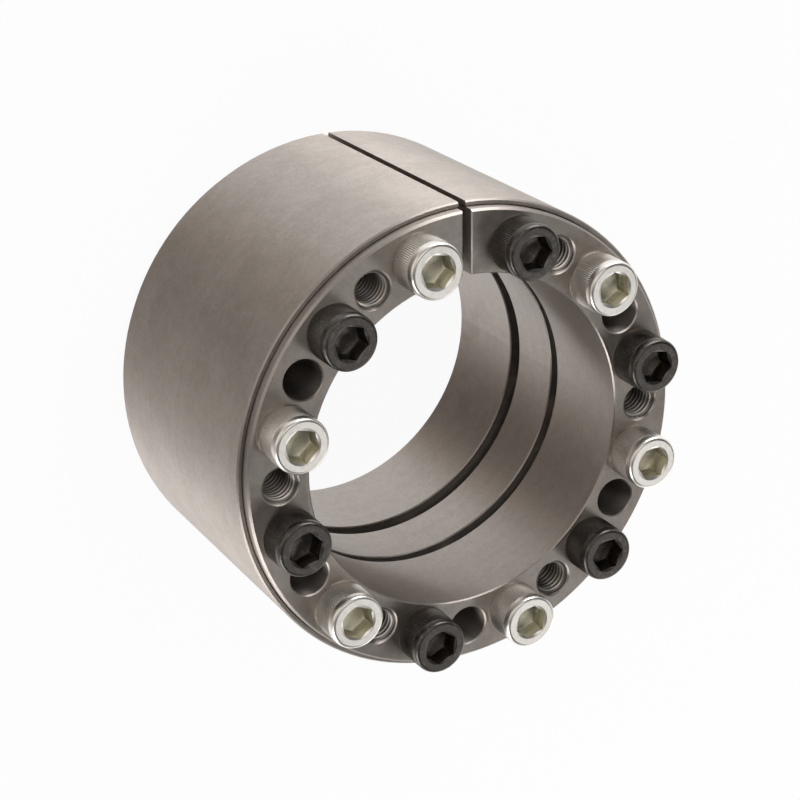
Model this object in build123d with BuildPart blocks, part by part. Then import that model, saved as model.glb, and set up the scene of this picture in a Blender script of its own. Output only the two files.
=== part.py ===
"""Keyless locking device: a slit outer ring, two slit cone rings drawn together by twelve cap screws.

The device stands on the face of its rear cone ring. Its axis is Z, its screw heads point up, and its slit
points to +Y. Sizes are in millimetres and degrees.
"""

import os
from math import cos, floor, radians, sin, tan

from build123d import *

# Overall sizes
bore_diameter = 110.0
wall_section = 22.5
cone_length = 34.5
web_width = 20.5
front_gap = 4.2
rear_gap = 5.3
front_standout = 3.2
rear_standout = 4.3

# Tapers, rims and slits
taper_angle = 3.0
taper_play = 0.1
closing_travel = 1.5
mouth_wall = 1.65
mouth_step = 0.45
rim_play = 0.35
rim_inset = 1.2
travel_reserve = 0.3
relief_width = 2.5
relief_depth = 0.5
web_bore_play = 0.2
outer_slit_width = 2.5
cone_slit_width = 3.0

# Broken edges
outer_chamfer = 0.5
face_chamfer = 0.7
edge_chamfer = 0.4
mouth_chamfer = 0.2
slit_chamfer = 0.3

# Cap screws and their holes
screw_diameter = 12.0
thread_pitch = 1.75
thread_length = 36.0
stock_step = 10.0
tip_recess = 7.0
head_diameter = 18.0
head_height = 12.0
head_chamfer = 0.9
head_foot_chamfer = 0.5
socket_width = 10.0
socket_depth = 6.0
socket_mouth_diameter = 11.5
socket_mouth_angle = 120.0
drill_point_diameter = 9.2
drill_point_angle = 118.0
screw_hole_play = 0.5
thread_play = 0.05
tap_countersink = 0.5
countersink_angle = 90.0
screw_circle_inset = 0.5

# Places on the hole circle, counted clockwise from the slit as seen from the front
place_count = 24
black_places = (1, 5, 9, 13, 17, 21)
push_off_places = (2, 6, 10, 14, 18, 22)
zinc_places = (3, 7, 11, 15, 19, 23)
plain_places = (4, 8, 12, 16, 20)

# How far a corner of each socket is turned clockwise from the outward direction, in screw order
socket_turns = (18.0, 12.0, 25.0, 41.0, 10.0, 25.0, 52.0, 9.0, 0.0, 1.0, 29.0, 57.0)

# Sizes that follow from those above
bore_radius = bore_diameter / 2
outer_radius = bore_radius + wall_section
mouth_radius = outer_radius - mouth_wall
rim_radius = mouth_radius - rim_play
mouth_depth = rim_inset + closing_travel + travel_reserve
screw_circle_radius = (bore_radius + rim_radius) / 2 - screw_circle_inset
total_length = 2 * cone_length + web_width + front_gap + rear_gap
outer_rear = rear_standout
outer_front = total_length - front_standout
web_rear = cone_length + rear_gap
web_front = web_rear + web_width
web_middle = web_rear + web_width / 2
tap_radius = screw_diameter / 2
pitch_radius = screw_diameter / 2 - 0.32476 * thread_pitch
thread_hole_radius = pitch_radius + thread_play
screw_hole_radius = screw_diameter / 2 + screw_hole_play
screw_length = stock_step * floor((total_length - tip_recess) / stock_step)
shank_length = screw_length - thread_length

# Aligns a solid so that it hangs below its location
hanging = (Align.CENTER, Align.CENTER, Align.MAX)


def taper_radius(depth):
    """Radius of the outer ring's taper at a depth inside its mouth."""
    return mouth_radius - mouth_step - depth * tan(radians(taper_angle))


def circle_point(place):
    """Point on the hole circle at a place counted clockwise from the slit."""
    angle = radians(90 - 360 / place_count * place)
    return (screw_circle_radius * cos(angle), screw_circle_radius * sin(angle))


def outer_outline(mouth_length):
    """Half section of the outer ring as (radius, depth) from its mouth, as far as the middle of the web."""
    web_face = mouth_length - web_width / 2
    web_bore_radius = bore_radius + web_bore_play
    relief_start = web_face - relief_width
    relief_radius = taper_radius(relief_start) + relief_depth
    return [
        (outer_radius, mouth_length),
        (outer_radius, outer_chamfer),
        (outer_radius - outer_chamfer, 0),
        (mouth_radius + mouth_chamfer, 0),
        (mouth_radius, mouth_chamfer),
        (mouth_radius, mouth_depth),
        (taper_radius(mouth_depth), mouth_depth),
        (taper_radius(relief_start), relief_start),
        (relief_radius, relief_start + relief_depth),
        (relief_radius, web_face),
        (web_bore_radius + edge_chamfer, web_face),
        (web_bore_radius, web_face + edge_chamfer),
        (web_bore_radius, mouth_length),
    ]


def cone_outline(standout):
    """Section of a cone ring as (radius, depth) from its outer face, which stands out of the outer ring."""
    small_end = cone_length - standout
    return [
        (bore_radius + edge_chamfer, 0),
        (rim_radius - face_chamfer, 0),
        (rim_radius, face_chamfer),
        (rim_radius, standout + rim_inset),
        (taper_radius(rim_inset) - taper_play, standout + rim_inset),
        (taper_radius(small_end - edge_chamfer) - taper_play, cone_length - edge_chamfer),
        (taper_radius(small_end) - taper_play - edge_chamfer, cone_length),
        (bore_radius + edge_chamfer, cone_length),
        (bore_radius, cone_length - edge_chamfer),
        (bore_radius, edge_chamfer),
    ]


def section_up(height):
    """Half plane through the axis, with x outwards and y up from a height."""
    return Plane(origin=(0, 0, height), x_dir=(1, 0, 0), z_dir=(0, -1, 0))


def section_down(height):
    """Half plane through the axis, with x outwards and y down from a height."""
    return Plane(origin=(0, 0, height), x_dir=(1, 0, 0), z_dir=(0, 1, 0))


def cut_slit(width, bottom, top):
    """Cuts the slit on the +Y side through the ring being built."""
    with BuildSketch(Plane.XY.offset(bottom)) as slit:
        with Locations((0, outer_radius)):
            Rectangle(width, 2 * wall_section + outer_chamfer)
    extrude(slit.sketch, amount=top - bottom, mode=Mode.SUBTRACT)


with BuildPart() as outer_ring:
    with BuildSketch(section_down(outer_front)):
        with BuildLine():
            Polyline(*outer_outline(outer_front - web_middle), close=True)
        make_face()
    with BuildSketch(section_up(outer_rear)):
        with BuildLine():
            Polyline(*outer_outline(web_middle - outer_rear), close=True)
        make_face()
    revolve(axis=Axis.Z)
    cut_slit(outer_slit_width, outer_rear, outer_front)
    with Locations(Plane.XY.offset(web_front)):
        with Locations(*[circle_point(place) for place in black_places + zinc_places]):
            Hole(screw_hole_radius, depth=web_width)
        with Locations(*[circle_point(place) for place in plain_places]):
            CounterSinkHole(thread_hole_radius, tap_radius + tap_countersink, web_width, countersink_angle)
outer_ring.part.label = "outer_ring"

with BuildPart() as front_ring:
    with BuildSketch(section_down(total_length)):
        with BuildLine():
            Polyline(*cone_outline(front_standout), close=True)
        make_face()
    revolve(axis=Axis.Z)
    cut_slit(cone_slit_width, total_length - cone_length, total_length)
    face_edges = front_ring.faces().sort_by(Axis.Z)[-1].edges()
    chamfer(face_edges.filter_by(Axis.Y), slit_chamfer)
    with Locations(Plane.XY.offset(total_length)):
        with Locations(*[circle_point(place) for place in black_places + zinc_places + plain_places]):
            CounterSinkHole(screw_hole_radius, screw_hole_radius + edge_chamfer, cone_length, countersink_angle)
        with Locations(*[circle_point(place) for place in push_off_places]):
            CounterSinkHole(tap_radius, tap_radius + tap_countersink, cone_length, countersink_angle)
front_ring.part.label = "front_ring"

with BuildPart() as rear_ring:
    with BuildSketch(section_up(0)):
        with BuildLine():
            Polyline(*cone_outline(rear_standout), close=True)
        make_face()
    revolve(axis=Axis.Z)
    cut_slit(cone_slit_width, 0, cone_length)
    with Locations(Plane.XY.offset(cone_length)):
        with Locations(*[circle_point(place) for place in black_places + zinc_places]):
            Hole(thread_hole_radius, depth=cone_length)
rear_ring.part.label = "rear_ring"


def cap_screw(place, socket_turn):
    """One cap screw seated on the front face, with its socket turned clockwise from the outward direction."""
    centre = Vector(*circle_point(place), total_length)
    seat = Plane(origin=centre, x_dir=(centre.X, centre.Y, 0), z_dir=(0, 0, 1))
    head_top = seat.offset(head_height)
    mouth_cone_height = socket_mouth_diameter / 2 / tan(radians(socket_mouth_angle / 2))
    drill_point_height = drill_point_diameter / 2 / tan(radians(drill_point_angle / 2))
    with BuildPart() as screw:
        with BuildSketch(seat):
            Circle(head_diameter / 2)
        extrude(amount=head_height)
        rims = screw.edges().group_by(Axis.Z)
        chamfer(rims[-1], head_chamfer)
        chamfer(rims[0], head_foot_chamfer)
        with BuildSketch(seat):
            Circle(screw_diameter / 2)
        extrude(amount=-shank_length)
        with BuildSketch(seat.offset(-shank_length)):
            Circle(pitch_radius)
        extrude(amount=-thread_length)
        chamfer(screw.faces().sort_by(Axis.Z)[0].edges(), screw_diameter / 2 - pitch_radius)
        with BuildSketch(head_top):
            RegularPolygon(socket_width / 2, 6, major_radius=False, rotation=-socket_turn)
        extrude(amount=-socket_depth, mode=Mode.SUBTRACT)
        with Locations(head_top):
            Cone(0, socket_mouth_diameter / 2, mouth_cone_height, align=hanging, mode=Mode.SUBTRACT)
        with Locations(head_top.offset(-socket_depth)):
            Cone(0, drill_point_diameter / 2, drill_point_height, align=hanging, mode=Mode.SUBTRACT)
    return screw.part


cap_screws = []
for number, place in enumerate(sorted(black_places + zinc_places)):
    screw = cap_screw(place, socket_turns[number])
    screw.label = f"cap_screw_{number + 1:02d}"
    cap_screws.append(screw)

os.makedirs("parts", exist_ok=True)
for piece in [outer_ring.part, front_ring.part, rear_ring.part] + cap_screws:
    export_step(piece, f"parts/{piece.label}.step")
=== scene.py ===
"""Looks of the keyless locking device: turned rings, knurled cap screws, cut threads and a studio.

Sizes are in metres, and azimuths and elevations in degrees. The device stands on its rear face,
with its axis on Z, its screw heads up and its slits towards +Y.
"""

import logging
import math
from dataclasses import dataclass, field
from enum import Enum
from typing import Callable, Sequence, Union

import bmesh
import bpy
from mathutils import Matrix, Vector


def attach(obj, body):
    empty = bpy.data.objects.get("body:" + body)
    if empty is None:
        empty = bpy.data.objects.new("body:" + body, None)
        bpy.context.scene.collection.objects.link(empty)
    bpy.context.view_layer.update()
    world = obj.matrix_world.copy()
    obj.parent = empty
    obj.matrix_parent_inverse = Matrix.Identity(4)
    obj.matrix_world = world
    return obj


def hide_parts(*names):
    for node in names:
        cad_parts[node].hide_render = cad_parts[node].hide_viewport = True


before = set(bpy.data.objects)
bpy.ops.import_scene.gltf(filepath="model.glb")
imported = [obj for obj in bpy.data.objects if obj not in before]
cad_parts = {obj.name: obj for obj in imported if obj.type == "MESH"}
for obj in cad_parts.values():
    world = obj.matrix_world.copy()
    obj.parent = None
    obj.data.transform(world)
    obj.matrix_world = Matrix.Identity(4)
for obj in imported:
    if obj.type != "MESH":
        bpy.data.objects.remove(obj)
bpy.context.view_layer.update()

log = logging.getLogger("locking_device")

Number = Union[int, float]
Colour = tuple[float, float, float]
# The level and the width of a soft step, as Signal.above takes them.
Step = tuple[float, float]

MM = 0.001
HOLE_CIRCLE = 64.75 * MM
WHITE = (1.0, 1.0, 1.0)
# What Blender's noise averages.
NOISE_MEAN = 0.5
# Keeps a division off zero.
TINY = 1e-6


class Place(Enum):
    """What a place on the hole circle holds."""

    BLACK_SCREW = "black screw"
    PUSH_OFF = "push-off thread"
    ZINC_SCREW = "zinc screw"
    PLAIN = "plain hole"


def direction(azimuth: float, elevation: float) -> Vector:
    """A direction in the device's frame.

    Args:
        azimuth: Its angle from +X towards +Y.
        elevation: Its angle above the floor.

    Returns:
        The vector of length 1 that points there.
    """
    turn, rise = math.radians(azimuth), math.radians(elevation)
    flat = math.cos(rise)
    return Vector((math.cos(turn) * flat, math.sin(turn) * flat, math.sin(rise)))


class Signal:
    """The value of a node's output socket; Python's operators on it add Math nodes."""

    def __init__(self, tree: "ShaderTree", socket: bpy.types.NodeSocket) -> None:
        """Keeps the socket and the tree it lives in.

        Args:
            tree: The shader tree that new nodes go into.
            socket: The output socket.
        """
        self.tree = tree
        self.socket = socket

    def _math(self, operation: str, first: "Operand", second: "Operand") -> "Signal":
        """Adds a Math node on two operands."""
        return self.tree.node("ShaderNodeMath", {"operation": operation}, {0: first, 1: second})

    def __add__(self, other: "Operand") -> "Signal":
        """This value plus another."""
        return self._math("ADD", self, other)

    def __radd__(self, other: "Operand") -> "Signal":
        """Another value plus this one."""
        return self._math("ADD", other, self)

    def __sub__(self, other: "Operand") -> "Signal":
        """This value less another."""
        return self._math("SUBTRACT", self, other)

    def __rsub__(self, other: "Operand") -> "Signal":
        """Another value less this one."""
        return self._math("SUBTRACT", other, self)

    def __mul__(self, other: "Operand") -> "Signal":
        """This value times another."""
        return self._math("MULTIPLY", self, other)

    def __rmul__(self, other: "Operand") -> "Signal":
        """Another value times this one."""
        return self._math("MULTIPLY", other, self)

    def __truediv__(self, other: "Operand") -> "Signal":
        """This value over another."""
        return self._math("DIVIDE", self, other)

    def __rtruediv__(self, other: "Operand") -> "Signal":
        """Another value over this one."""
        return self._math("DIVIDE", other, self)

    def __pow__(self, other: "Operand") -> "Signal":
        """This value to a power."""
        return self._math("POWER", self, other)

    def __rpow__(self, other: "Operand") -> "Signal":
        """Another value to the power of this one."""
        return self._math("POWER", other, self)

    def above(self, level: Number, width: Number) -> "Signal":
        """A soft step.

        Args:
            level: The value at which the step is half way.
            width: How much the value grows from one side of the step to the other.

        Returns:
            0 below the step and 1 above it.
        """
        return self.tree.node(
            "ShaderNodeMapRange",
            {"interpolation_type": "SMOOTHSTEP", "clamp": True},
            {"Value": self, "From Min": level - width / 2, "From Max": level + width / 2},
        )

    def halfway(self) -> "Signal":
        """1 where this mask is half way between 0 and 1, and 0 where it has reached either."""
        return self * (1.0 - self) * 4.0

    def blend(self, other: "Signal", share: Number) -> "Signal":
        """This value, with a share of another in place of as much of its own."""
        return self * (1.0 - share) + other * share


Operand = Union[Signal, Number]
SocketValue = Union[Signal, Number, Sequence[float]]


def length(along: Signal, across: Signal) -> Signal:
    """The length of a vector of two parts."""
    return (along * along + across * across) ** 0.5


@dataclass(frozen=True)
class Noise:
    """A noise's features per metre, how many finer layers it has and how strong those are."""

    scale: float
    detail: float = 2.0
    roughness: float = 0.5


class ShaderTree:
    """A material's or world's node tree, filled through one method."""

    def __init__(self, owner: Union[bpy.types.Material, bpy.types.World]) -> None:
        """Empties the owner's node tree.

        Args:
            owner: The material or world.
        """
        owner.use_nodes = True
        self.tree = owner.node_tree
        self.tree.nodes.clear()

    def node(
        self,
        kind: str,
        settings: dict[str, object] | None = None,
        inputs: dict[Union[int, str], SocketValue] | None = None,
        output: Union[int, str] = 0,
    ) -> Signal:
        """Adds a node.

        Args:
            kind: The node's type.
            settings: Its own settings, set before its sockets.
            inputs: The value or link of each input socket, by name or number.
            output: Which output to return.

        Returns:
            The chosen output, or the node's first input where it has no output.
        """
        made = self.tree.nodes.new(kind)
        for name, value in (settings or {}).items():
            setattr(made, name, value)
        for name, value in (inputs or {}).items():
            if isinstance(value, Signal):
                self.tree.links.new(value.socket, made.inputs[name])
            else:
                made.inputs[name].default_value = value
        return Signal(self, made.outputs[output] if made.outputs else made.inputs[0])

    def mix(
        self, factor: Operand, first: Union[Signal, Colour], second: Union[Signal, Colour]
    ) -> Signal:
        """Blends two colours.

        Args:
            factor: 0 for the first colour and 1 for the second.
            first: The first colour.
            second: The second colour.

        Returns:
            The blended colour.
        """
        a = first if isinstance(first, Signal) else (*first, 1.0)
        b = second if isinstance(second, Signal) else (*second, 1.0)
        inputs = {"Factor": factor, "A": a, "B": b}
        return self.node("ShaderNodeMix", {"data_type": "RGBA"}, inputs, output="Result")

    def position(self) -> Signal:
        """The point being shaded, in the device's own frame."""
        return self.node("ShaderNodeTexCoord", output="Object")

    def axis_parts(self, vector: Signal) -> tuple[Signal, Signal, Signal]:
        """A vector's X, Y and Z."""
        split = self.node("ShaderNodeSeparateXYZ", inputs={0: vector}).socket.node
        return tuple(Signal(self, split.outputs[i]) for i in range(3))

    def noise(self, point: Signal, look: Noise) -> Signal:
        """Cloudy noise at a point."""
        return self._noise("3D", "Vector", point, look)

    def lines(self, along: Signal, look: Noise) -> Signal:
        """Noise that changes along one length only."""
        return self._noise("1D", "W", along, look)

    def _noise(self, dimensions: str, socket: str, where: Signal, look: Noise) -> Signal:
        """Adds a noise texture.

        Args:
            dimensions: How many dimensions it has.
            socket: Which socket says where it is read.
            where: Where it is read.
            look: Its scale and layers.

        Returns:
            Values about NOISE_MEAN.
        """
        inputs = {"Scale": look.scale, "Detail": look.detail, "Roughness": look.roughness}
        inputs[socket] = where
        return self.node(
            "ShaderNodeTexNoise", {"noise_dimensions": dimensions}, inputs, output="Fac"
        )

    def bump(self, height: Signal, strength: float, distance: float) -> Signal:
        """A normal tilted by a height.

        Args:
            height: The height, from 0 to 1.
            strength: How much of it shows.
            distance: How far 1 stands above 0.

        Returns:
            The normal.
        """
        inputs = {"Height": height, "Strength": strength, "Distance": distance}
        return self.node("ShaderNodeBump", inputs=inputs)

    def metal(self, **sockets: SocketValue) -> None:
        """Adds a metal's surface shader and the material's output.

        Args:
            sockets: The shader's other sockets, in lower case, with "_" for a space.
        """
        inputs = {name.replace("_", " ").title(): value for name, value in sockets.items()}
        inputs["Metallic"] = 1.0
        shader = self.node("ShaderNodeBsdfPrincipled", {"distribution": "MULTI_GGX"}, inputs)
        self.node("ShaderNodeOutputMaterial", inputs={"Surface": shader})


@dataclass(frozen=True)
class TurnedSteel:
    """Satin turned steel: tool marks round the axis, mottling, faint stains, and painted light and
    shade.

    Thread valleys, the holes' depths, the faces square to the axis, the outer ring's faces at the
    rim and the bore are painted darker as shade, with oil in the valleys and smudges on the faces.
    Thread crests and edges are painted lighter as highlights, with fresh metal and wear. What ends
    in strength, oil, shade, share or smudges is a share from 0 to 1. The edges, walls, crests and
    valleys are soft steps of the distance from the device's axis or from a hole's.
    """

    name: str = "turned_steel"
    colour: Colour = (0.54, 0.488, 0.448)
    # The mottling's darker tone; scaled down by the shares below, it is also the colour of the
    # painted shade and oil.
    mottle_and_shade_colour: Colour = (0.44, 0.392, 0.352)
    stain_colour: Colour = (0.33, 0.28, 0.24)
    # Crests and edges are painted this colour, as fresh metal and wear and as a painted highlight.
    fresh_and_highlight_colour: Colour = (0.98, 0.91, 0.84)
    # Shares of that darker tone: the first for the painted shade in valleys, on faces, at the rim
    # and in the bore, the second for the painted shade deep in the holes.
    oil_and_shade_share: float = 0.62
    deep_shade_share: float = 0.35

    marks: Noise = Noise(2600.0, 3.0, 0.6)
    bands: Noise = Noise(2600.0 / 9, 3.0, 0.6)
    mottle: Noise = Noise(55.0, 4.0, 0.62)
    patches: Noise = Noise(260.0, 4.0, 0.6)
    grain: Noise = Noise(900.0, 3.0)
    stains: Noise = Noise(30.25, 5.0, 0.7)
    specks: Noise = Noise(420.0, 1.0)

    patch_strength: float = 0.8
    band_strength: float = 0.3
    stain_strength: float = 0.35
    speck_strength: float = 0.4
    patch_smudges: float = 0.6
    # The edges' lightening is wear and a painted highlight. What follows is painted shade: on the
    # faces, patched by smudges, at the rim, in the bore and deep in the holes.
    edge_wear_and_highlight: float = 0.2
    face_shade_and_smudges: float = 0.25
    smudge_oil: float = 0.45
    rim_shade: float = 0.1
    bore_shade: float = 0.18
    deep_shade: float = 0.9

    on_face: Step = (0.5, 0.3)
    on_flat: Step = (0.9, 0.1)
    shaded: Step = (0.5, 0.9)
    stained: Step = (0.66, 0.14)
    specked: Step = (0.8, 0.05)
    smudged: Step = (0.5, 0.3)
    bore_edge: Step = (56.2 * MM, 0.6 * MM)
    rim_edge: Step = (75.7 * MM, 0.2 * MM)
    thread_valley: Step = (6.1 * MM, 0.06 * MM)
    thread_crest: Step = (5.4 * MM, 0.3 * MM)
    hole_wall: Step = (6.5 * MM, 0.6 * MM)
    # The middle of the device's length, and the reach from it past which the painted shade deep in
    # the holes fades out towards their ends.
    middle: float = 50 * MM
    hole_mouth: Step = (44 * MM, 8 * MM)
    # The slit is on the side of +Y, and its place has no hole where x squared is below its reach.
    slit_side: Step = (0.0, 1 * MM)
    slit_reach: Step = (5e-5, 2e-6)
    place_angle: float = math.radians(15)

    roughness: float = 0.45
    roughness_spread: float = 0.08
    ground_polish: float = 0.1
    anisotropy: float = 0.8
    anisotropy_turn: float = 0.25
    bump_strength: float = 0.35
    bump_height: float = 3e-6
    bump_grain: float = 0.3

    def material(self) -> bpy.types.Material:
        """Makes the material.

        Returns:
            The material.
        """
        material = bpy.data.materials.new(self.name)
        tree = ShaderTree(material)
        point = tree.position()
        x, y, z = tree.axis_parts(point)
        normal_z = tree.axis_parts(tree.node("ShaderNodeTexCoord", output="Normal"))[2]
        tilt = normal_z * normal_z
        on_face = tilt.above(*self.on_face)
        radius = length(x, y)
        along = on_face * radius + (1.0 - on_face) * z
        marks = tree.lines(along, self.marks)
        bands = tree.lines(along, self.bands)
        mottle = tree.noise(point, self.mottle)
        patches = tree.noise(point, self.patches)
        grain = tree.noise(point, self.grain)
        stains = tree.noise(point, self.stains).above(*self.stained) * self.stain_strength
        specks = tree.noise(point, self.specks).above(*self.specked) * self.speck_strength

        # Four noises with their weights, less as much as leaves the average of one.
        extra = NOISE_MEAN * (1.0 + self.patch_strength + self.band_strength)
        shade = mottle + patches * self.patch_strength + grain + bands * self.band_strength - extra
        colour = tree.mix(shade.above(*self.shaded), self.mottle_and_shade_colour, self.colour)
        colour = tree.mix(stains + specks, colour, self.stain_colour)

        off_flat = 1.0 - tilt.above(*self.on_flat)
        # The valleys and the holes' depths are painted darker as shade; the crests are painted
        # lighter as a highlight, partly fresh metal.
        valley, crest, deep = self._holes(tree, (x, y, z), radius, off_flat)
        # Edges and crests are painted lighter, as wear and fresh metal and as a painted highlight.
        edge = on_face.halfway() * self.edge_wear_and_highlight
        colour = tree.mix(crest + edge - crest * edge, colour, self.fresh_and_highlight_colour)

        # Painted shade: the faces square to the axis, patched by smudges, the outer ring's faces at
        # the rim, the bore, the threads' valleys, partly oil, and the holes' depths are darkened.
        in_bore = 1.0 - radius.above(*self.bore_edge)
        smudges = mottle.blend(patches, self.patch_smudges).above(*self.smudged)
        on_rim = radius.above(*self.rim_edge) * self.rim_shade
        face_shade_and_smudges = on_face * (self.face_shade_and_smudges + smudges * self.smudge_oil + on_rim) * (1.0 - crest)
        oil_and_shade = valley + (1.0 - valley) * (face_shade_and_smudges + in_bore * self.bore_shade)
        for darkening, share in ((oil_and_shade, self.oil_and_shade_share), (deep * self.deep_shade, self.deep_shade_share)):
            colour = tree.mix(darkening, colour, tuple(part * share for part in self.mottle_and_shade_colour))

        uneven = (mottle + marks - 2 * NOISE_MEAN) * self.roughness_spread
        height = marks.blend(grain, self.bump_grain)
        tree.metal(
            base_color=colour,
            roughness=self.roughness + uneven - in_bore * self.ground_polish,
            anisotropic=self.anisotropy,
            anisotropic_rotation=self.anisotropy_turn,
            normal=tree.bump(height, self.bump_strength, self.bump_height),
        )
        return material

    def _holes(
        self,
        tree: ShaderTree,
        parts: tuple[Signal, Signal, Signal],
        radius: Signal,
        off_flat: Signal,
    ) -> tuple[Signal, Signal, Signal]:
        """Finds the holes and their threads.

        Args:
            tree: The material's tree.
            parts: The point's X, Y and Z.
            radius: Its distance from the device's axis.
            off_flat: 0 on faces square to the device's axis, where no hole's wall is.

        Returns:
            1 in the threads' valleys, painted darker as shade and oil; 1 on their crests, painted
            lighter as a highlight and fresh metal; and 1 deep in the holes, painted darker as
            shade.
        """
        x, y, z = parts
        turn = tree.node("ShaderNodeMath", {"operation": "ARCTAN2"}, {0: y, 1: x})
        half = self.place_angle / 2
        turn = tree.node("ShaderNodeMath", {"operation": "WRAP"}, {0: turn, 1: half, 2: -half})
        distance = length(radius * turn, radius - HOLE_CIRCLE)
        at_slit = y.above(*self.slit_side) * (1.0 - (x * x).above(*self.slit_reach))
        in_hole = off_flat * (1.0 - at_slit)
        beyond_crest = distance.above(*self.thread_crest)
        valley = (beyond_crest - distance.above(*self.thread_valley)) * in_hole
        from_middle = tree.node(
            "ShaderNodeMath", {"operation": "ABSOLUTE"}, {0: z - self.middle}
        )
        mouth = from_middle.above(*self.hole_mouth)
        walls = in_hole * (1.0 - distance.above(*self.hole_wall))
        return valley, (1.0 - beyond_crest) * in_hole, walls * (1.0 - mouth)


@dataclass(frozen=True)
class PlatedSteel:
    """A screw's finish: black oxide or zinc, a little uneven, with worn spots, and its side below
    the knurl's top painted darker as shade.

    The knurl's top is a soft step of the height in the device.
    """

    name: str
    colour: Colour
    worn_colour: Colour
    roughness: float
    side_roughness: float
    wear: float
    knurl_top: Step = (108.1 * MM, 0.3 * MM)
    # How much the side below the knurl's top is painted darker as shade, and the colour it goes to.
    side_shade: float = 0.2
    side_shade_colour: Colour = (0.2, 0.18, 0.16)
    clouds: Noise = Noise(700.0, 4.0, 0.6)
    grain: Noise = Noise(3000.0, 2.0)
    worn: Step = (0.58, 0.2)
    grain_wear: float = 0.3
    cloud_spread: float = 0.14
    grain_spread: float = 0.1
    bump_strength: float = 0.4
    bump_height: float = 3e-6

    def material(self) -> bpy.types.Material:
        """Makes the material.

        Returns:
            The material.
        """
        material = bpy.data.materials.new(self.name)
        tree = ShaderTree(material)
        point = tree.position()
        # The side below the knurl's top is rougher, and painted darker as shade.
        on_side = 1.0 - tree.axis_parts(point)[2].above(*self.knurl_top)
        clouds = tree.noise(point, self.clouds)
        grain = tree.noise(point, self.grain)
        worn = clouds.blend(grain, self.grain_wear).above(*self.worn) * self.wear
        plated = tree.mix(worn, self.colour, self.worn_colour)
        roughness = self.roughness + on_side * (self.side_roughness - self.roughness)
        roughness += (clouds - NOISE_MEAN) * self.cloud_spread
        roughness += (grain - NOISE_MEAN) * self.grain_spread
        tree.metal(
            base_color=tree.mix(on_side * self.side_shade, plated, self.side_shade_colour),
            roughness=roughness,
            normal=tree.bump(grain, self.bump_strength, self.bump_height),
        )
        return material


class Plating(Enum):
    """The two finishes of the cap screws, each with its socket's: the black socket is painted
    lighter than the head as a highlight, the zinc socket darker as shade, with an olive tint of its
    own.
    """

    BLACK_OXIDE = (
        PlatedSteel(
            name="black_oxide",
            colour=(0.105, 0.095, 0.086),
            worn_colour=(0.24, 0.215, 0.195),
            roughness=0.36,
            side_roughness=0.42,
            wear=0.6,
        ),
        # The socket's colours are lighter than the head's, as a painted highlight.
        PlatedSteel(
            name="black_oxide_socket_highlight",
            colour=(0.13, 0.117, 0.105),
            worn_colour=(0.31, 0.285, 0.255),
            roughness=0.24,
            side_roughness=0.24,
            wear=0.7,
        ),
    )
    ZINC = (
        PlatedSteel(
            name="zinc_plate",
            colour=(0.92, 0.88, 0.82),
            worn_colour=(0.79, 0.76, 0.69),
            roughness=0.32,
            side_roughness=0.45,
            wear=0.6,
        ),
        # The socket's olive tint is its own; its colours are also darker than the head's, as a
        # painted shade.
        PlatedSteel(
            name="zinc_socket_tint_and_shade",
            colour=(0.80, 0.775, 0.65),
            worn_colour=(0.68, 0.655, 0.53),
            roughness=0.3,
            side_roughness=0.3,
            wear=0.6,
        ),
    )

    @property
    def slot(self) -> str:
        """The record's material slot."""
        return self.value[0].name


class Maker:
    """Turns finished meshes into pieces that ride on the device's bodies."""

    sharp_angle: float = math.radians(32)

    @classmethod
    def piece(
        cls,
        name: str,
        mesh: bmesh.types.BMesh,
        body: str,
        slot: str,
        materials: Sequence[bpy.types.Material],
        replaces: Sequence[str] = (),
    ) -> bpy.types.Object:
        """Makes an object of a mesh, with its faces smooth and its corners sharp.

        Args:
            name: The piece's name.
            mesh: The finished mesh, in place; it is freed.
            body: The body it rides on.
            slot: The record's material slot; not used.
            materials: Its materials, in the order of the faces' numbers.
            replaces: The CAD nodes it stands for.

        Returns:
            The object.
        """
        for face in mesh.faces:
            face.smooth = True
        for edge in mesh.edges:
            closed = len(edge.link_faces) == 2
            edge.smooth = closed and edge.calc_face_angle(0.0) < cls.sharp_angle
        data = bpy.data.meshes.new(name)
        mesh.to_mesh(data)
        mesh.free()
        for material in materials:
            data.materials.append(material)
        piece = bpy.data.objects.new(name, data)
        bpy.context.scene.collection.objects.link(piece)
        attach(piece, body)
        if replaces:
            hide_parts(*replaces)
        log.info("%s: %d faces, rides on %s", name, len(data.polygons), body)
        return piece


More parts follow.
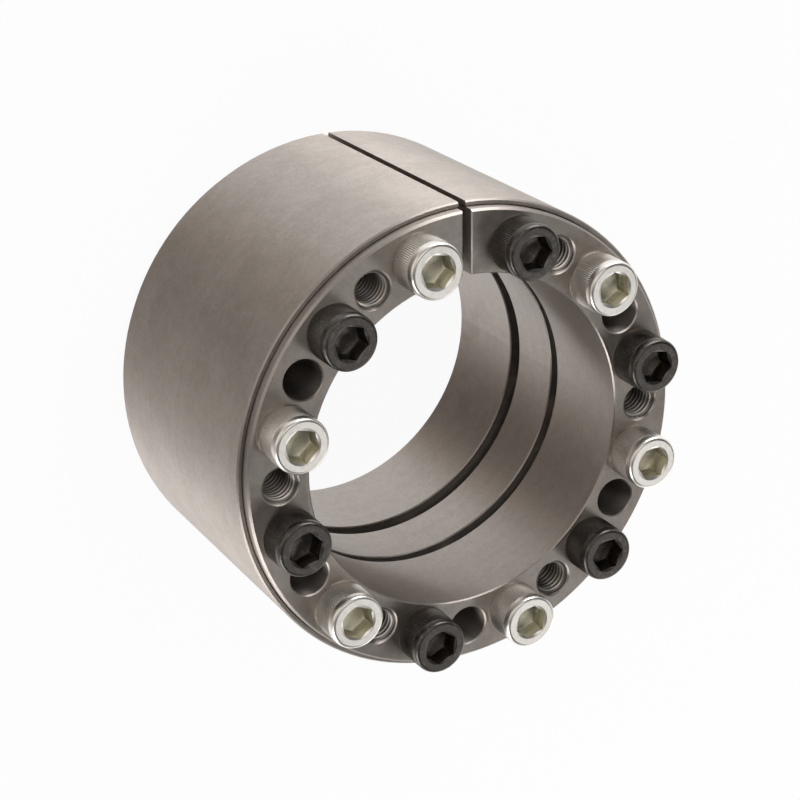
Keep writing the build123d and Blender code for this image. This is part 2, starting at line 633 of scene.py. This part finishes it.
class Lathe:
    """Builds a piece rim by rim: each is extruded from the last and set to its own outline."""

    def __init__(self, segments: int, radius: float, height: float) -> None:
        """Starts with a closed end.

        Args:
            segments: How many sides the rims have.
            radius: The end's radius.
            height: The end's height.
        """
        self.mesh = bmesh.new()
        self.segments = segments
        self.radius = radius
        self.height = height
        self.material = 0
        made = bmesh.ops.create_circle(
            self.mesh,
            cap_ends=True,
            radius=radius,
            segments=segments,
            matrix=Matrix.Translation((0, 0, height)),
        )
        self.rim: list[bmesh.types.BMVert] = made["verts"]

    def to(self, radius: float, height: float) -> None:
        """Extrudes the rim to a round rim.

        Args:
            radius: The new rim's radius.
            height: The new rim's height.
        """
        old = set(self.rim)
        edges = [e for e in self.mesh.edges if e.verts[0] in old and e.verts[1] in old]
        made = bmesh.ops.extrude_edge_only(self.mesh, edges=edges)["geom"]
        self.rim = [g for g in made if isinstance(g, bmesh.types.BMVert)]
        for item in made:
            if isinstance(item, bmesh.types.BMFace):
                item.material_index = self.material
        self.shape(lambda angle: (radius, height))
        self.radius, self.height = radius, height

    def push_out(self, depth: float) -> None:
        """Moves every other vertex of the rim outwards, for the crests of a straight knurl.

        Args:
            depth: How far they move.
        """
        step = 2 * math.pi / self.segments
        crests = [v for v in self.rim if round(math.atan2(v.co.y, v.co.x) / step) % 2]
        factor = 1 + depth / self.radius
        bmesh.ops.scale(self.mesh, vec=(factor, factor, 1), verts=crests)

    def shape(self, outline: Callable[[float], tuple[float, float]]) -> None:
        """Moves each vertex of the rim to an outline.

        Args:
            outline: Gives the radius and the height for an angle.
        """
        for vertex in self.rim:
            angle = math.atan2(vertex.co.y, vertex.co.x)
            radius, height = outline(angle)
            vertex.co = (radius * math.cos(angle), radius * math.sin(angle), height)

    def close(self, height: float) -> None:
        """Ends the piece in a point on its axis."""
        self.to(self.radius / 2, (self.height + height) / 2)
        bmesh.ops.pointmerge(self.mesh, verts=self.rim, merge_co=(0, 0, height))


class Pattern:
    """A finished shape that is copied to several places."""

    def __init__(self, name: str, mesh: bmesh.types.BMesh) -> None:
        """Keeps the shape.

        Args:
            name: The pattern's name.
            mesh: Its mesh; it is freed.
        """
        self.data = bpy.data.meshes.new(name)
        mesh.to_mesh(self.data)
        mesh.free()

    def stamp(self, target: bmesh.types.BMesh, place: Matrix) -> None:
        """Adds a copy of the shape to a mesh.

        Args:
            target: The mesh to add to.
            place: Where the copy goes.
        """
        start = len(target.verts)
        target.from_mesh(self.data)
        target.verts.ensure_lookup_table()
        bmesh.ops.transform(target, matrix=place, verts=target.verts[start:])

    def discard(self) -> None:
        """Removes the shape once its copies are made."""
        bpy.data.meshes.remove(self.data)


@dataclass
class Thread:
    """One helical ridge on the axis, such as the crests of a screw's or of a tapped hole's thread.

    The crest's share and the phase are parts of the pitch. A tapped hole with a countersink has
    its mouth's radius, and the ridge's foot sinks into what carries it.
    """

    name: str
    root_radius: float
    crest_radius: float
    crest_share: float
    bottom: float
    top: float
    phase: float = 0.0
    mouth_radius: float = 0.0
    pitch: float = 1.75 * MM
    flank_angle: float = math.radians(30)
    sink: float = 0.06 * MM
    steps: int = 20
    spare_turns: int = 1

    def pattern(self) -> Pattern:
        """Sweeps the ridge along its helix and trims it to its length.

        Returns:
            The ridge, closed at both ends.
        """
        turns = math.ceil((self.top - self.bottom) / self.pitch) + 2 * self.spare_turns
        crest_half = self.pitch * self.crest_share / 2
        outwards = 1 if self.root_radius > self.crest_radius else -1
        base_radius = self.root_radius + outwards * self.sink
        depth = abs(self.root_radius - self.crest_radius)
        base_half = crest_half + depth * math.tan(self.flank_angle)
        first = (math.floor(self.bottom / self.pitch) - self.spare_turns + self.phase) * self.pitch
        outline = (
            (base_radius, -base_half),
            (self.crest_radius, -crest_half),
            (self.crest_radius, crest_half),
            (base_radius, base_half),
        )
        mesh = bmesh.new()
        corners = [mesh.verts.new((radius, 0, first + rise)) for radius, rise in outline]
        profile = mesh.faces.new(corners)
        bmesh.ops.spin(
            mesh,
            geom=[profile, *profile.edges, *profile.verts],
            cent=(0, 0, 0),
            axis=(0, 0, 1),
            dvec=(0, 0, self.pitch / self.steps),
            angle=2 * math.pi * turns,
            steps=turns * self.steps,
            use_merge=False,
            use_duplicate=False,
        )
        self._trim(mesh)
        if self.mouth_radius:
            self._open_mouth(mesh)
        bmesh.ops.recalc_face_normals(mesh, faces=mesh.faces)
        return Pattern(self.name, mesh)

    def _trim(self, mesh: bmesh.types.BMesh) -> None:
        """Cuts the ridge off square below its bottom and above its top.

        Args:
            mesh: The ridge's mesh.
        """
        for height, outward in ((self.bottom, -1), (self.top, 1)):
            cut = bmesh.ops.bisect_plane(
                mesh,
                geom=[*mesh.verts, *mesh.edges, *mesh.faces],
                plane_co=(0, 0, height),
                plane_no=(0, 0, outward),
                clear_outer=True,
            )
            rims = [g for g in cut["geom_cut"] if isinstance(g, bmesh.types.BMEdge)]
            bmesh.ops.holes_fill(mesh, edges=rims, sides=0)

    def _open_mouth(self, mesh: bmesh.types.BMesh) -> None:
        """Trims the first turns to the cone of the hole's countersink.

        Args:
            mesh: The ridge's mesh.
        """
        for vertex in mesh.verts:
            out = Vector((vertex.co.x, vertex.co.y, 0))
            cone = self.mouth_radius - (self.top - vertex.co.z)
            if out.length > self.root_radius:
                cone += 2 * self.sink
            if out.length < cone:
                vertex.co += out.normalized() * (cone - out.length)


@dataclass
class CapScrew:
    """The socket head cap screw with a knurled head, drawn on the axis with its seat at zero.

    The face is supported by a rim beside each of its edges, so that its shading stays flat. The
    round between the shoulder and the face goes through the angles of its steps, in degrees.
    """

    seat_height: float = 99 * MM
    head_radius: float = 9 * MM
    head_height: float = 12 * MM
    foot_chamfer: float = 0.5 * MM
    knurl_top: float = 9.0 * MM
    knurl_depth: float = 0.33 * MM
    knurl_run: float = 0.4 * MM
    knurl_teeth: int = 84
    band_inset: float = 0.08 * MM
    band_rise: float = 0.3 * MM
    shoulder_height: float = 1.25 * MM
    shoulder_steps: tuple[float, ...] = (22, 45, 66, 90)
    face_radius: float = 7.8 * MM
    face_support: float = 0.08 * MM
    mouth_radius: float = 5.75 * MM
    mouth_edge: float = 0.12 * MM
    mouth_angle: float = math.radians(60)
    socket_width: float = 10 * MM
    socket_depth: float = 6 * MM
    socket_sector: float = math.radians(60)
    socket_material: int = 1
    drill_radius: float = 4.6 * MM
    drill_depth: float = 2.76 * MM
    shank_radius: float = 6 * MM
    shank_length: float = 54 * MM
    shank_taper: float = 0.8 * MM
    length: float = 90 * MM
    core_radius: float = 4.93 * MM
    crest_radius: float = 5.44 * MM
    crest_share: float = 0.32
    run_out: float = 1 * MM
    tip_chamfer: float = 0.9 * MM
    tip_plain: float = 0.5 * MM

    def _hexagon(self, angle: float) -> float:
        """Radius of the socket's wall at an angle from one of its corners."""
        half = self.socket_sector / 2
        return self.socket_width / 2 / math.cos((angle % self.socket_sector) - half)

    def _mouth(self, angle: float) -> tuple[float, float]:
        """Finds where the socket's wall meets the cone of its mouth.

        Args:
            angle: The angle from one of the socket's corners.

        Returns:
            The radius and the height.
        """
        radius = self._hexagon(angle)
        drop = max(self.mouth_radius - radius, 0.0) / math.tan(self.mouth_angle)
        return radius, self.head_height - self.mouth_edge / 2 - drop

    def blank(self) -> Pattern:
        """Turns the screw from its tip to the bottom of its socket.

        Returns:
            The screw without its thread.
        """
        top, radius, shoulder = self.head_height, self.head_radius, self.shoulder_height
        valley = radius - self.knurl_depth
        band = radius - self.band_inset
        lathe = Lathe(2 * self.knurl_teeth, self.core_radius - self.tip_chamfer, -self.length)
        lathe.to(self.core_radius, self.tip_chamfer - self.length)
        lathe.to(self.core_radius, -self.shank_length - self.shank_taper)
        lathe.to(self.shank_radius, -self.shank_length)
        lathe.to(self.shank_radius, 0)
        lathe.to(radius - self.foot_chamfer, 0)
        lathe.to(valley, self.foot_chamfer)
        lathe.to(valley, self.foot_chamfer + self.knurl_run)
        lathe.push_out(self.knurl_depth)
        lathe.to(valley, self.knurl_top - self.knurl_run)
        lathe.push_out(self.knurl_depth)
        lathe.to(valley, self.knurl_top)
        lathe.to(band, self.knurl_top + self.band_rise)
        lathe.to(band, top - shoulder)
        for degrees in self.shoulder_steps:
            turn = math.radians(degrees)
            reach = self.face_radius + (band - self.face_radius) * math.cos(turn)
            lathe.to(reach, top - shoulder * (1 - math.sin(turn)))
        lathe.to(self.face_radius - self.face_support, top)
        lathe.to(self.mouth_radius + self.mouth_edge + self.face_support, top)
        lathe.to(self.mouth_radius + self.mouth_edge, top)
        lathe.to(self.mouth_radius, top - self.mouth_edge / 2)
        lathe.to(self.mouth_radius, top - self.mouth_edge)
        lathe.shape(self._mouth)
        lathe.material = self.socket_material
        floor = top - self.socket_depth
        lathe.to(self.mouth_radius, floor)
        lathe.shape(lambda angle: (self._hexagon(angle), floor))
        lathe.to(self.drill_radius, floor)
        lathe.close(floor - self.drill_depth)
        bmesh.ops.recalc_face_normals(lathe.mesh, faces=lathe.mesh.faces)
        return Pattern("screw_blank", lathe.mesh)

    def thread(self) -> Thread:
        """Sizes the screw's thread, at its height in the device.

        Returns:
            The thread.
        """
        tip = self.seat_height - self.length
        shank_end = self.seat_height - self.shank_length
        return Thread(
            name="screw_ridge",
            root_radius=self.core_radius,
            crest_radius=self.crest_radius,
            crest_share=self.crest_share,
            bottom=tip + self.tip_plain,
            top=shank_end - self.run_out,
        )


@dataclass
class Device:
    """The device's rings, threads and screws round one hole circle.

    The places repeat one order, clockwise from the slit, which takes the first plain place. The
    sockets' turns are in degrees, as in the photograph. A tapped hole's ridge lies half a pitch
    from the screw's, so that the two mesh.
    """

    rings: tuple[str, ...] = ("outer_ring", "front_ring", "rear_ring")
    place_count: int = 24
    order: tuple[Place, ...] = (Place.PLAIN, Place.BLACK_SCREW, Place.PUSH_OFF, Place.ZINC_SCREW)
    screw_kinds: tuple[Place, ...] = (Place.BLACK_SCREW, Place.ZINC_SCREW)
    socket_turns: tuple[float, ...] = (18, 12, 25, 41, 10, 25, 52, 9, 0, 1, 29, 57)
    front_face: float = 99 * MM
    front_ring_rear: float = 64.5 * MM
    web_front: float = 60.3 * MM
    web_rear: float = 39.8 * MM
    rear_ring_front: float = 34.5 * MM
    countersink_radius: float = 6.42 * MM
    end_play: float = 0.1 * MM
    push_off_root: float = 6.0 * MM
    push_off_crest: float = 5.08 * MM
    push_off_share: float = 0.25
    push_off_steps: int = 32
    tap_root: float = 5.482 * MM
    tap_crest: float = 5.04 * MM
    tap_share: float = 0.3
    tap_phase: float = 0.5

    def kind(self, place: int) -> Place:
        """What is at a place, counted clockwise from the slit."""
        return self.order[place % len(self.order)]

    def angle(self, place: int) -> float:
        """The angle of a place, from +X."""
        return math.radians(90 - 360 / self.place_count * place)

    def shift(self, place: int) -> Matrix:
        """The move from the axis to a place."""
        angle = self.angle(place)
        return Matrix.Translation((HOLE_CIRCLE * math.cos(angle), HOLE_CIRCLE * math.sin(angle), 0))

    def places(self, kinds: Sequence[Place]) -> list[int]:
        """The places of these kinds, without the slit's."""
        return [place for place in range(1, self.place_count) if self.kind(place) in kinds]

    def dress_rings(self, steel: bpy.types.Material) -> None:
        """Gives the three rings their finish.

        Args:
            steel: The rings' material.
        """
        for name in self.rings:
            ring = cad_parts[name]
            ring.data.materials.clear()
            ring.data.materials.append(steel)
            log.info("%s: turned steel", name)

    def build_screws(self) -> None:
        """Makes the cap screws."""
        screw = CapScrew()
        blank, ridge = screw.blank(), screw.thread().pattern()
        seat = Matrix.Translation((0, 0, screw.seat_height))
        dressed = {plating: [part.material() for part in plating.value] for plating in Plating}
        screws = zip(self.places(self.screw_kinds), self.socket_turns)
        for number, (place, turn) in enumerate(screws, start=1):
            black = self.kind(place) is Place.BLACK_SCREW
            plating = Plating.BLACK_OXIDE if black else Plating.ZINC
            turned = Matrix.Rotation(self.angle(place) - math.radians(turn), 4, "Z")
            node = f"cap_screw_{number:02d}"
            mesh = bmesh.new()
            blank.stamp(mesh, self.shift(place) @ seat @ turned)
            ridge.stamp(mesh, self.shift(place))
            Maker.piece(f"{node}_body", mesh, node, plating.slot, dressed[plating], [node])
        blank.discard()
        ridge.discard()

    def _push_off_thread(self) -> Thread:
        """The thread of the front ring's push-off holes."""
        bottom, top = self.front_ring_rear + self.end_play, self.front_face - self.end_play
        return Thread(
            "push_off_threads", self.push_off_root, self.push_off_crest, self.push_off_share,
            bottom, top, self.tap_phase, self.countersink_radius, steps=self.push_off_steps,
        )

    def _tap(self, name: str, rear: float, front: float, mouth_radius: float = 0.0) -> Thread:
        """Sizes the thread of a tapped hole that fits the cap screws.

        Args:
            name: The piece's name.
            rear: The height at which the hole starts.
            front: The height at which it ends.
            mouth_radius: Its countersink's radius at the front, or 0.

        Returns:
            The thread, a little shorter than the hole.
        """
        return Thread(
            name, self.tap_root, self.tap_crest, self.tap_share,
            rear + self.end_play, front - self.end_play, self.tap_phase, mouth_radius,
        )

    def build_threads(self, steel: bpy.types.Material) -> None:
        """Cuts the threads of the front ring's push-off holes, the web and the rear ring.

        Args:
            steel: The rings' material.
        """
        web = self._tap("web_threads", self.web_rear, self.web_front, self.countersink_radius)
        cuts = (
            ("front_ring", [Place.PUSH_OFF], self._push_off_thread()),
            ("outer_ring", [Place.PLAIN], web),
            ("rear_ring", self.screw_kinds, self._tap("rear_threads", 0, self.rear_ring_front)),
        )
        for ring, kinds, thread in cuts:
            ridge = thread.pattern()
            mesh = bmesh.new()
            for place in self.places(kinds):
                ridge.stamp(mesh, self.shift(place))
            ridge.discard()
            Maker.piece(thread.name, mesh, ring, "turned_steel", [steel])


@dataclass(frozen=True)
class SoftBox:
    """A square studio lamp that points at the device."""

    name: str
    azimuth: float
    elevation: float
    watts: float
    side: float = 0.5
    distance: float = 0.9

    def build(self, centre: Vector) -> None:
        """Hangs the lamp.

        Args:
            centre: The point that it lights.
        """
        lamp = bpy.data.lights.new(self.name, "AREA")
        lamp.shape = "SQUARE"
        lamp.size = self.side
        lamp.energy = self.watts
        away = direction(self.azimuth, self.elevation)
        holder = bpy.data.objects.new(self.name, lamp)
        holder.location = centre + away * self.distance
        holder.rotation_mode = "QUATERNION"
        holder.rotation_quaternion = away.to_track_quat("Z", "Y")
        holder.visible_camera = False
        bpy.context.scene.collection.objects.link(holder)
        log.info("%s: %.1f W", self.name, self.watts)


@dataclass
class Studio:
    """A pale floor, soft lamps, a white surround and the photograph's camera.

    The shine is what polished metal sees. The dark side, the patch and what is above are soft
    steps of how much a direction points there, from -1 to 1.
    """

    centre: Vector = field(default_factory=lambda: Vector((0, 0, 0.05)))
    floor_radius: float = 3.0
    floor_segments: int = 96
    floor_gap: float = 0.1 * MM
    floor_colour: Colour = (0.8, 0.8, 0.8)
    floor_white: float = 0.94
    floor_fade: Step = (0.35, 0.5)
    world_level: float = 0.5
    shine_bright: float = 1.0
    shine_dark: float = 0.17
    shine_above: float = 0.07
    shine_patch: float = 0.5
    dark_azimuth: float = 160
    dark_edge: Step = (0.72, 0.76)
    dark_colour: Colour = (1.0, 0.89, 0.80)
    above_edge: Step = (0.22, 0.5)
    patch_place: tuple[float, float] = (139, 62)
    patch_edge: Step = (0.92, 0.14)
    camera_place: Vector = field(default_factory=lambda: Vector((-0.29977, 0.260751, 0.61292)))
    camera_aim: Vector = field(default_factory=lambda: Vector((0.437158, -0.382442, -0.814022)))
    camera_up: Vector = field(default_factory=lambda: Vector((0.194001, 0.923878, -0.329869)))
    camera_lens: float = 93.547
    camera_sensor: float = 36.0
    lamps: tuple[SoftBox, ...] = (
        SoftBox("key_lamp", 65, 14, 4.0),
        SoftBox("side_lamp", 230, 20, 3.0),
        SoftBox("top_lamp", 100, 66, 0.6),
        SoftBox("far_lamp", -41, 54.3, 0.64, side=0.46),
        SoftBox("edge_lamp", -50, 12, 1.0),
        SoftBox("fill_lamp", 158, 12, 1.6, side=0.9),
    )

    def build(self) -> None:
        """Makes the whole studio."""
        self._floor()
        self._world()
        for lamp in self.lamps:
            lamp.build(self.centre)
        self._camera()

    @staticmethod
    def _rays(tree: ShaderTree) -> tuple[Signal, Signal]:
        """Tells the rays apart.

        Args:
            tree: The tree to add to.

        Returns:
            1 for rays from the camera, straight or through glass, and 1 for rays off polished
            metal.
        """
        rays = tree.node("ShaderNodeLightPath").socket.node
        straight, through, polished = (
            Signal(tree, rays.outputs[name])
            for name in ("Is Camera Ray", "Is Transmission Ray", "Is Glossy Ray")
        )
        return straight + through, polished

    def _shine(self, tree: ShaderTree) -> tuple[Signal, Signal]:
        """How polished metal sees its surroundings.

        They are pale all round, with a darker warm side, and dim above, with a small pale patch.

        Args:
            tree: The world's tree.

        Returns:
            The strength and the colour in the direction being shaded.
        """
        x, y, z = tree.axis_parts(tree.node("ShaderNodeTexCoord", output="Generated"))
        side = direction(self.dark_azimuth, 0)
        turn = (x * side.x + y * side.y) / (x * x + y * y + TINY) ** 0.5
        dark = turn.above(*self.dark_edge)
        below = self.shine_bright - dark * (self.shine_bright - self.shine_dark)
        patch = direction(*self.patch_place)
        reach = x * patch.x + y * patch.y + z * patch.z
        above = self.shine_above + reach.above(*self.patch_edge) * self.shine_patch
        strength = below + (above - below) * z.above(*self.above_edge)
        return strength, tree.mix(dark, WHITE, self.dark_colour)

    def _floor(self) -> None:
        """Lays the floor."""
        mesh = bmesh.new()
        bmesh.ops.create_circle(
            mesh,
            cap_ends=True,
            radius=self.floor_radius,
            segments=self.floor_segments,
            matrix=Matrix.Translation((0, 0, -self.floor_gap)),
        )
        data = bpy.data.meshes.new("floor")
        mesh.to_mesh(data)
        mesh.free()
        data.materials.append(self._floor_finish())
        floor = bpy.data.objects.new("floor", data)
        bpy.context.scene.collection.objects.link(floor)
        log.info("floor: %.1f m across", 2 * self.floor_radius)

    def _floor_finish(self) -> bpy.types.Material:
        """Makes the floor's material.

        It is white far out, keeps the device's shadow near it, and is clear from beneath and to
        what polished metal shows.

        Returns:
            The material.
        """
        material = bpy.data.materials.new("pale_floor")
        tree = ShaderTree(material)
        seen, polished = self._rays(tree)
        matt = tree.node("ShaderNodeBsdfDiffuse", inputs={"Color": (*self.floor_colour, 1.0)})
        white = tree.node("ShaderNodeEmission", inputs={"Color": (*WHITE, 1.0), "Strength": 1.0})
        x, y, _ = tree.axis_parts(tree.position())
        far = length(x, y).above(*self.floor_fade)
        share = seen * (self.floor_white + far * (1.0 - self.floor_white))
        pale = tree.node("ShaderNodeMixShader", inputs={0: share, 1: matt, 2: white})
        clear = tree.node("ShaderNodeBsdfTransparent")
        beneath = tree.node("ShaderNodeNewGeometry", output="Backfacing")
        unseen = polished + beneath - polished * beneath
        surface = tree.node("ShaderNodeMixShader", inputs={0: unseen, 1: pale, 2: clear})
        tree.node("ShaderNodeOutputMaterial", inputs={"Surface": surface})
        return material

    def _world(self) -> None:
        """Makes the surround: white to the camera, its shine to metal, and an even pale light."""
        world = bpy.data.worlds.new("surround")
        bpy.context.scene.world = world
        tree = ShaderTree(world)
        seen, polished = self._rays(tree)
        plain = self.world_level + seen * (1.0 - self.world_level)
        shine, shine_colour = self._shine(tree)
        strength = plain + polished * (shine - self.world_level)
        colour = tree.mix(polished, WHITE, shine_colour)
        sky = tree.node("ShaderNodeBackground", inputs={"Color": colour, "Strength": strength})
        tree.node("ShaderNodeOutputWorld", inputs={"Surface": sky})

    def _camera(self) -> None:
        """Sets the camera as the photograph's stood."""
        lens = bpy.data.cameras.new("camera")
        lens.sensor_width = self.camera_sensor
        lens.lens = self.camera_lens
        camera = bpy.data.objects.new("camera", lens)
        right = self.camera_aim.cross(self.camera_up)
        turn = Matrix((right, self.camera_up, -self.camera_aim)).transposed()
        camera.matrix_world = Matrix.Translation(self.camera_place) @ turn.to_4x4()
        bpy.context.scene.collection.objects.link(camera)
        bpy.context.scene.camera = camera
        log.info("camera: %.1f mm", self.camera_lens)


def main() -> None:
    """Builds the studio and the device's looks."""
    logging.basicConfig(level=logging.INFO, format="%(name)s: %(message)s")
    bpy.context.scene.view_settings.view_transform = "Standard"
    Studio().build()
    steel = TurnedSteel().material()
    device = Device()
    device.dress_rings(steel)
    device.build_threads(steel)
    device.build_screws()


if __name__ == "__main__":
    main()
